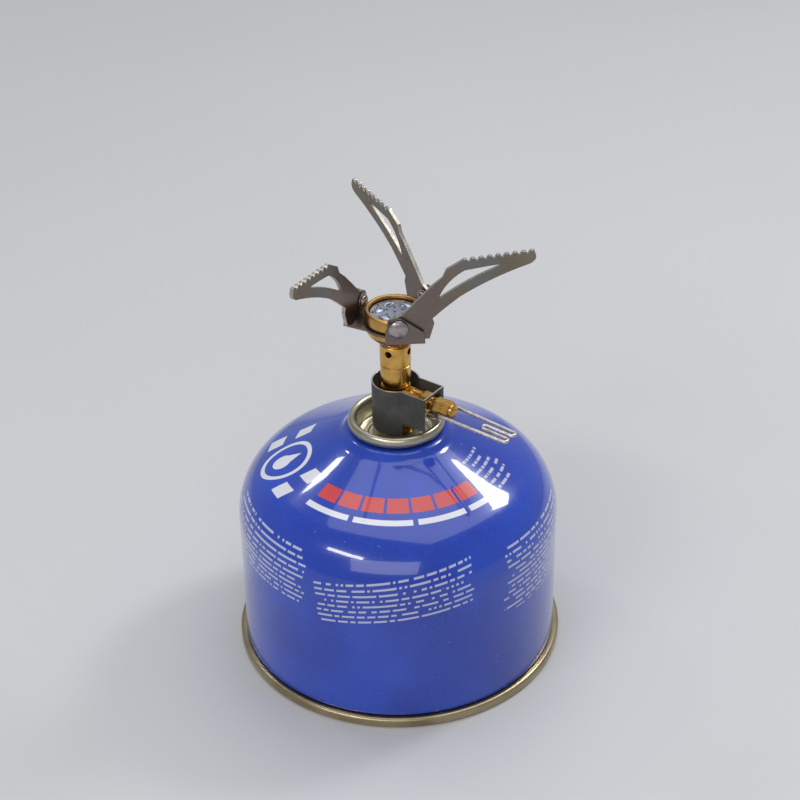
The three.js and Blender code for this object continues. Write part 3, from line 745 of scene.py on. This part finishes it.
def add_control(stem_brass, brass, rubber, steel):
    refined("valve_block", brass, "brass", 0.12, 40)

    low, high = span("spindle_seal", STEM)
    half = (high.z - low.z) / 2
    middle = (high.z + low.z) / 2
    loop = list(arc((1.98, middle), (0.36, half), 0, 340, 15))
    seal = new_object("spindle_ring", spun(loop, 40, STEM))
    settle(seal, rubber, "stove", "rubber", "spindle_seal", sharp=60)

    low, high = span("gland_nut", STEM)
    bore = 1.62
    flat = 2.9
    nut_end = 13.4
    hexagon = hex_bar(flat, low.z, nut_end, STEM)
    neck = spun(eased([(bore, 11.5), (2.3, 11.5), (2.3, high.z), (bore, high.z)], 0.12), 48, STEM)
    bite = spun([(2.95, low.z - 0.5), (5.0, low.z + 0.7), (5.0, nut_end - 0.7), (2.95, nut_end + 0.5),
                 (6.0, nut_end + 0.5), (6.0, low.z - 0.5)], 48, STEM)
    nut = carved("gland", hexagon, ("DIFFERENCE", bite), ("UNION", neck),
                 ("DIFFERENCE", peg(bore, low.z - 1, high.z + 1, STEM)))
    settle(nut, stem_brass, "stove", "brass", "gland_nut", sharp=25)
    ease_edges(nut, 0.08)

    refined("spindle_clip", steel, "steel", 0.12)

    low, high = span("gas_jet")
    outline = [(0.45, low.z), (high.x, low.z), (high.x, 99.9), (2.2, 100.2), (1.35, 100.7),
               (1.1, high.z - 0.2), (0.95, high.z), (0.45, high.z)]
    jet = new_object("jet_nozzle", spun(outline, 48))
    settle(jet, brass, "stove", "brass", "gas_jet", sharp=25)

    low, high = span("valve_spindle", STEM)
    outline = [(0, low.z), (0.15, low.z), (0.6, low.z + 2.2), (1.3, low.z + 2.8), (1.3, high.z - 0.2),
               (1.1, high.z), (0, high.z)]
    spindle = new_object("needle_spindle", spun(outline, 40, STEM, closed=False))
    settle(spindle, stem_brass, "spindle", "brass", "valve_spindle", sharp=25)

    low, high = span("control_knob", STEM)
    flat, hex_end, tip = 2.6, 21.7, 2.4
    hinge, wire_z = 19.1, 94.2
    hexagon = hex_bar(flat, low.z, hex_end, STEM)
    corner = flat / math.cos(math.pi / 6)
    bite = spun([(flat + 0.05, low.z - 0.3), (corner + 0.4, low.z + 0.5), (corner + 0.4, hex_end - 0.5),
                 (flat + 0.05, hex_end + 0.3), (5.0, hex_end + 0.3), (5.0, low.z - 0.3)], 64, STEM)
    cap = spun(list(arc((0, high.z - 0.8), (tip, 0.8), 90, 0, 8))
               + [(tip, hex_end + 0.1), (tip - 0.2, hex_end - 0.1), (tip - 0.2, hex_end - 0.6),
                  (0, hex_end - 0.6)], 64, STEM, closed=False)
    wire_hole = peg(0.95, -5, 5, SIDE @ Matrix.Translation((hinge, 0, wire_z))
                    @ Matrix.Rotation(math.pi / 2, 4, "X"))
    facing = Matrix.Translation((hinge, 0, STEM_HEIGHT)) @ Matrix.Rotation(math.radians(60), 4, "X")
    cross_hole = peg(0.65, 1.6, 5, SIDE @ facing)
    bore = peg(1.62, low.z - 1, 17.7, STEM)
    knob = carved("hex_knob", hexagon, ("DIFFERENCE", bite), ("UNION", cap), ("DIFFERENCE", bore),
                  ("DIFFERENCE", wire_hole), ("DIFFERENCE", cross_hole))
    settle(knob, stem_brass, "control", "brass", "control_knob", sharp=25)
    ease_edges(knob, 0.09)

    # The wire comes in a little towards its end, which hangs lower than its hinge.
    hub, reach, end, inner_reach, droop = 3.85, 44.0, 3.15, 33.6, 1.2
    run = end / 3
    corners = [(hinge, -0.9), (hinge, -hub), (reach, -end), (reach, -run), (inner_reach, -run),
               (inner_reach, run), (reach, run), (reach, end), (hinge, hub), (hinge, 0.9)]
    fall = droop / (reach - hinge)
    path = bent([(x, y, wire_z - (x - hinge) * fall) for x, y in corners], 1.0)
    drawn_wire("handle_wire", path, 0.6, steel, "handle", "steel", "wire_handle", SIDE)


def hex_bar(flat, low, high, place):
    """A hexagonal bar along the drawing axis, with its corners to the sides."""
    shape = bmesh.new()
    corner = flat / math.cos(math.pi / 6)
    ring = bmesh.ops.create_circle(shape, cap_ends=True, segments=6, radius=corner)
    bmesh.ops.translate(shape, verts=ring["verts"], vec=(0, 0, low))
    rise = bmesh.ops.extrude_face_region(shape, geom=shape.faces[:])
    top = [item for item in rise["geom"] if isinstance(item, bmesh.types.BMVert)]
    bmesh.ops.translate(shape, verts=top, vec=(0, 0, high - low))
    bmesh.ops.recalc_face_normals(shape, faces=shape.faces)
    bmesh.ops.transform(shape, matrix=Matrix.Scale(MM, 4) @ place, verts=shape.verts)
    return shape


# ------------------------------------------------------------------ mixing tube and burner
def add_burner(brass, warm_brass, steel, gauze):
    low, high = span("jet_tube")
    outline = [(3.1, low.z), (high.x, low.z), (high.x, high.z), (3.1, high.z)]
    sleeve = new_object("jet_sleeve", spun(eased(outline, 0.2), 96))
    settle(sleeve, brass, "stove", "brass", "jet_tube")

    low, high = span("mixing_tube")
    outer, foot, groove = high.x, 4.88, 105.6
    outline = [(4.5, low.z), (foot - 0.3, low.z), (foot - 0.09, low.z + 0.09), (foot, low.z + 0.3),
               (foot, groove - 0.3), (foot - 0.12, groove - 0.22), (foot - 0.2, groove),
               (foot - 0.12, groove + 0.22), (outer, groove + 0.35), (outer, high.z - 0.15),
               (outer - 0.15, high.z), (3.7, high.z), (3.7, 104.0), (4.5, 104.0)]
    cuts = []
    for quarter in range(4):
        turn = Matrix.Rotation(math.radians(-117 + 90 * quarter), 4, "Z")
        aim = turn @ Matrix.Translation((0, 0, 110.8)) @ Matrix.Rotation(math.pi / 2, 4, "Y")
        cuts.append(("DIFFERENCE", peg(1.15, 3, 7, aim, 40)))
    tube = carved("air_tube", spun(outline, TURNED_STEPS), *cuts)
    settle(tube, brass, "stove", "brass", "mixing_tube", sharp=22)
    ease_edges(tube, 0.07, 40)

    low, high = span("burner_cup")
    flange = high.x
    outline = [(3.7, low.z), (5.0, low.z), (5.25, low.z + 0.35), (6.0, 114.4), (7.5, 115.9),
               (8.5, 116.9), (flange - 0.1, 117.6), (flange, 118.2), (flange, 119.4),
               (flange - 0.3, 119.7), (8.0, 119.7), (8.0, high.z), (7.2, high.z), (7.2, 117.6),
               (6.7, 116.8), (4.4, 114.4), (3.7, 114.0)]
    cup = new_object("burner_bowl", spun(outline, TURNED_STEPS))
    settle(cup, warm_brass, "stove", "brass", "burner_cup", sharp=30)

    low, high = span("burner_rim")
    rim = high.x
    outline = [(8.3, low.z), (rim - 0.3, low.z), (rim, low.z + 0.3), (rim, high.z - 0.6),
               (rim - 0.18, high.z - 0.18), (rim - 0.6, high.z), (8.5, high.z), (8.25, high.z - 0.15),
               (8.15, high.z - 0.5), (8.15, 124.3), (8.3, 124.3)]
    ring = new_object("burner_ring", spun(eased(outline, 0.12, 2), TURNED_STEPS))
    settle(ring, warm_brass, "stove", "brass", "burner_rim")

    low, high = span("burner_plate")
    bottom, top = low.z, low.z + 0.8
    disc = spun([(0, bottom), (high.x, bottom), (high.x, top - 0.15), (high.x - 0.15, top), (0, top)],
                96, closed=False)
    cuts = []
    for step in range(6):
        turn = Matrix.Rotation(math.radians(-130 + 60 * step), 4, "Z")
        place = turn @ Matrix.Translation((5.2, 0, top - 0.1)) @ Matrix.Diagonal((1.15, 2.1, 0.85, 1))
        louvre = bmesh.new()
        bmesh.ops.create_uvsphere(louvre, u_segments=32, v_segments=16, radius=1)
        bmesh.ops.transform(louvre, matrix=Matrix.Scale(MM, 4) @ place, verts=louvre.verts)
        cuts.append(("UNION", louvre))
        mouth = turn @ Matrix.Translation((4.1, 0, top + 0.1)) @ Matrix.Diagonal((0.95, 1.4, 0.65, 1))
        slot = bmesh.new()
        bmesh.ops.create_uvsphere(slot, u_segments=24, v_segments=12, radius=1)
        bmesh.ops.transform(slot, matrix=Matrix.Scale(MM, 4) @ mouth, verts=slot.verts)
        cuts.append(("DIFFERENCE", slot))
    for radius, count in ((0.0, 1), (2.9, 6), (6.9, 9)):
        for step in range(count):
            angle = TURN * (step + 0.5) / count
            place = Matrix.Translation((radius * math.cos(angle), radius * math.sin(angle), 0))
            cuts.append(("DIFFERENCE", peg(0.4, bottom - 1, top + 1, place, 20)))
    plate = carved("flame_plate", disc, *cuts)
    settle(plate, steel, "stove", "steel", "burner_plate", sharp=45)

    low, high = span("burner_gauze")
    outline = [(0, low.z), (high.x, low.z), (high.x, high.z), (0, high.z)]
    mesh_disc = new_object("gauze_disc", spun(outline, SMALL_STEPS, closed=False))
    settle(mesh_disc, gauze, "stove", "bronze", "burner_gauze")


# ------------------------------------------------------------------ pot supports
def add_supports(tinted, painted_edge_highlight, rivet_steel):
    refined("support_bracket", tinted, "tinted_steel", 0.16)
    for number in (1, 2, 3):
        arm = refined(f"pot_support_{number}", tinted, "tinted_steel", 0.17)
        plane = arm_plane(number)
        across = plane.to_3x3() @ Vector((0, 1, 0))
        # Every edge face gets a lighter steel: a painted highlight along the arm's cut edges.
        arm.data.materials.append(painted_edge_highlight)
        for face in arm.data.polygons:
            if abs(face.normal.dot(across)) < 0.5:
                face.material_index = 1
        lying = plane @ Matrix.Rotation(math.pi / 2, 4, "X")

        low, high = span(f"pivot_rivet_{number}", lying)
        shank, peen, head = 1.25, 2.0, high.x
        base = high.z - 1.3
        outline = [(0, low.z), *arc((peen - 0.55, low.z + 0.45), (0.55, 0.45), -90, 0, 5),
                   (peen, low.z + 0.6), (shank, low.z + 0.6), (shank, base), (head - 0.12, base),
                   (head, base + 0.14), *arc((0, base + 0.14), (head, 1.16), 4, 90, 16)]
        dome = new_object(f"rivet_{number}", spun(outline, 72, lying, closed=False))
        settle(dome, rivet_steel, "stove", "steel", f"pivot_rivet_{number}", sharp=40)

        low, high = span(f"pivot_washer_{number}", lying)
        outline = [(shank + 0.25, low.z), (high.x, low.z), (high.x, high.z), (shank + 0.25, high.z)]
        washer = new_object(f"washer_{number}", spun(eased(outline, 0.06), 56, lying))
        settle(washer, rivet_steel, "stove", "steel", f"pivot_washer_{number}")


# ------------------------------------------------------------------ stage
def soft_light(name, azimuth, height, distance, size, power, tint=(1, 1, 1)):
    lamp = bpy.data.lights.new(name, "AREA")
    lamp.shape = "RECTANGLE"
    lamp.size, lamp.size_y = size
    lamp.energy = power
    lamp.color = tint
    light = bpy.data.objects.new(name, lamp)
    middle = Vector((0, 0, 0.08))
    turn = Matrix.Rotation(math.radians(azimuth), 3, "Z")
    tilt = Matrix.Rotation(math.radians(-height), 3, "Y")
    light.location = middle + turn @ tilt @ Vector((distance, 0, 0))
    light.rotation_euler = (middle - light.location).to_track_quat("-Z", "Y").to_euler()
    bpy.context.scene.collection.objects.link(light)


def add_stage():
    ground = bmesh.new()
    bmesh.ops.create_grid(ground, x_segments=1, y_segments=1, size=4)
    floor = new_object("floor", ground)
    surface = Finish("pale_floor", Roughness=0.6)
    tone = surface.noise(0.004, 2.0)
    floor.data.materials.append(surface.wear(
        Base_Color=surface.mix(tone, (0.52, 0.52, 0.53), (0.56, 0.56, 0.565))))

    world = bpy.data.worlds.new("studio")
    world.use_nodes = True
    world.node_tree.nodes["Background"].inputs["Color"].default_value = (0.84, 0.88, 0.95, 1)
    world.node_tree.nodes["Background"].inputs["Strength"].default_value = 0.36
    scene = bpy.context.scene
    scene.world = world
    scene.view_settings.view_transform = "Standard"
    scene.view_settings.exposure = 0.18

    # Each light is given by the way to it: azimuth and height in degrees, and its distance.
    soft_light("window", 31, 44, 0.95, (0.17, 0.17), 2.0, (0.97, 0.98, 1.0))
    soft_light("small_window", 141, 45, 0.95, (0.07, 0.07), 0.35, (0.97, 0.98, 1.0))
    soft_light("left_strip", -132, 37, 0.95, (0.40, 0.08), 1.6)
    soft_light("overhead", 60, 74, 1.30, (1.50, 1.50), 9.0)
    soft_light("front_fill", -100, 26, 1.50, (1.20, 0.60), 4.6, (1.0, 0.98, 0.95))


# ------------------------------------------------------------------ assembly
def build():
    upright = (0.0, 0.0, 1.0)
    outwards = (math.cos(STEM_AZIMUTH), math.sin(STEM_AZIMUTH), 0.0)
    brass = turned_brass("turned_brass", upright)
    stem_brass = turned_brass("stem_brass", outwards)
    warm_brass = turned_brass("burner_brass", upright, (119.0, 129.0))
    rubber = nitrile("seal_rubber")
    steel = bright_steel("drawn_steel")
    tin = tinned_sheet("gold_tinplate", (0.44, 0.36, 0.22), (0.30, 0.235, 0.13))
    silver = tinned_sheet("cup_tinplate", (0.52, 0.48, 0.37), (0.38, 0.345, 0.25), 1.2)
    dark = blackened_sheet("blackened_sheet", 99.04)
    add_canister(canister_lacquer(), tin, silver)
    add_canister_valve(brass, rubber, steel, tin)
    add_socket(brass, rubber, sintered_bronze("sintered_bronze"))
    add_control(stem_brass, brass, rubber, steel)
    refined("valve_shroud", dark, "dark_steel", 0.08, 40)
    # The plate's blue is painted light from the flame burning on it.
    flame_lit_plate_steel = bright_steel("flame_lit_plate_steel", (0.42, 0.46, 0.54), (0.28, 0.29, 0.35), 0.3)
    add_burner(brass, warm_brass, flame_lit_plate_steel, woven_gauze("flame_gauze"))
    add_supports(heat_tinted_steel("heat_tinted_steel"),
                 bright_steel("painted_edge_highlight_steel", (0.56, 0.52, 0.45), (0.36, 0.32, 0.27), 0.24),
                 bright_steel("rivet_steel", (0.42, 0.38, 0.37), (0.22, 0.18, 0.20), 0.16))


add_camera()
build()
add_stage()
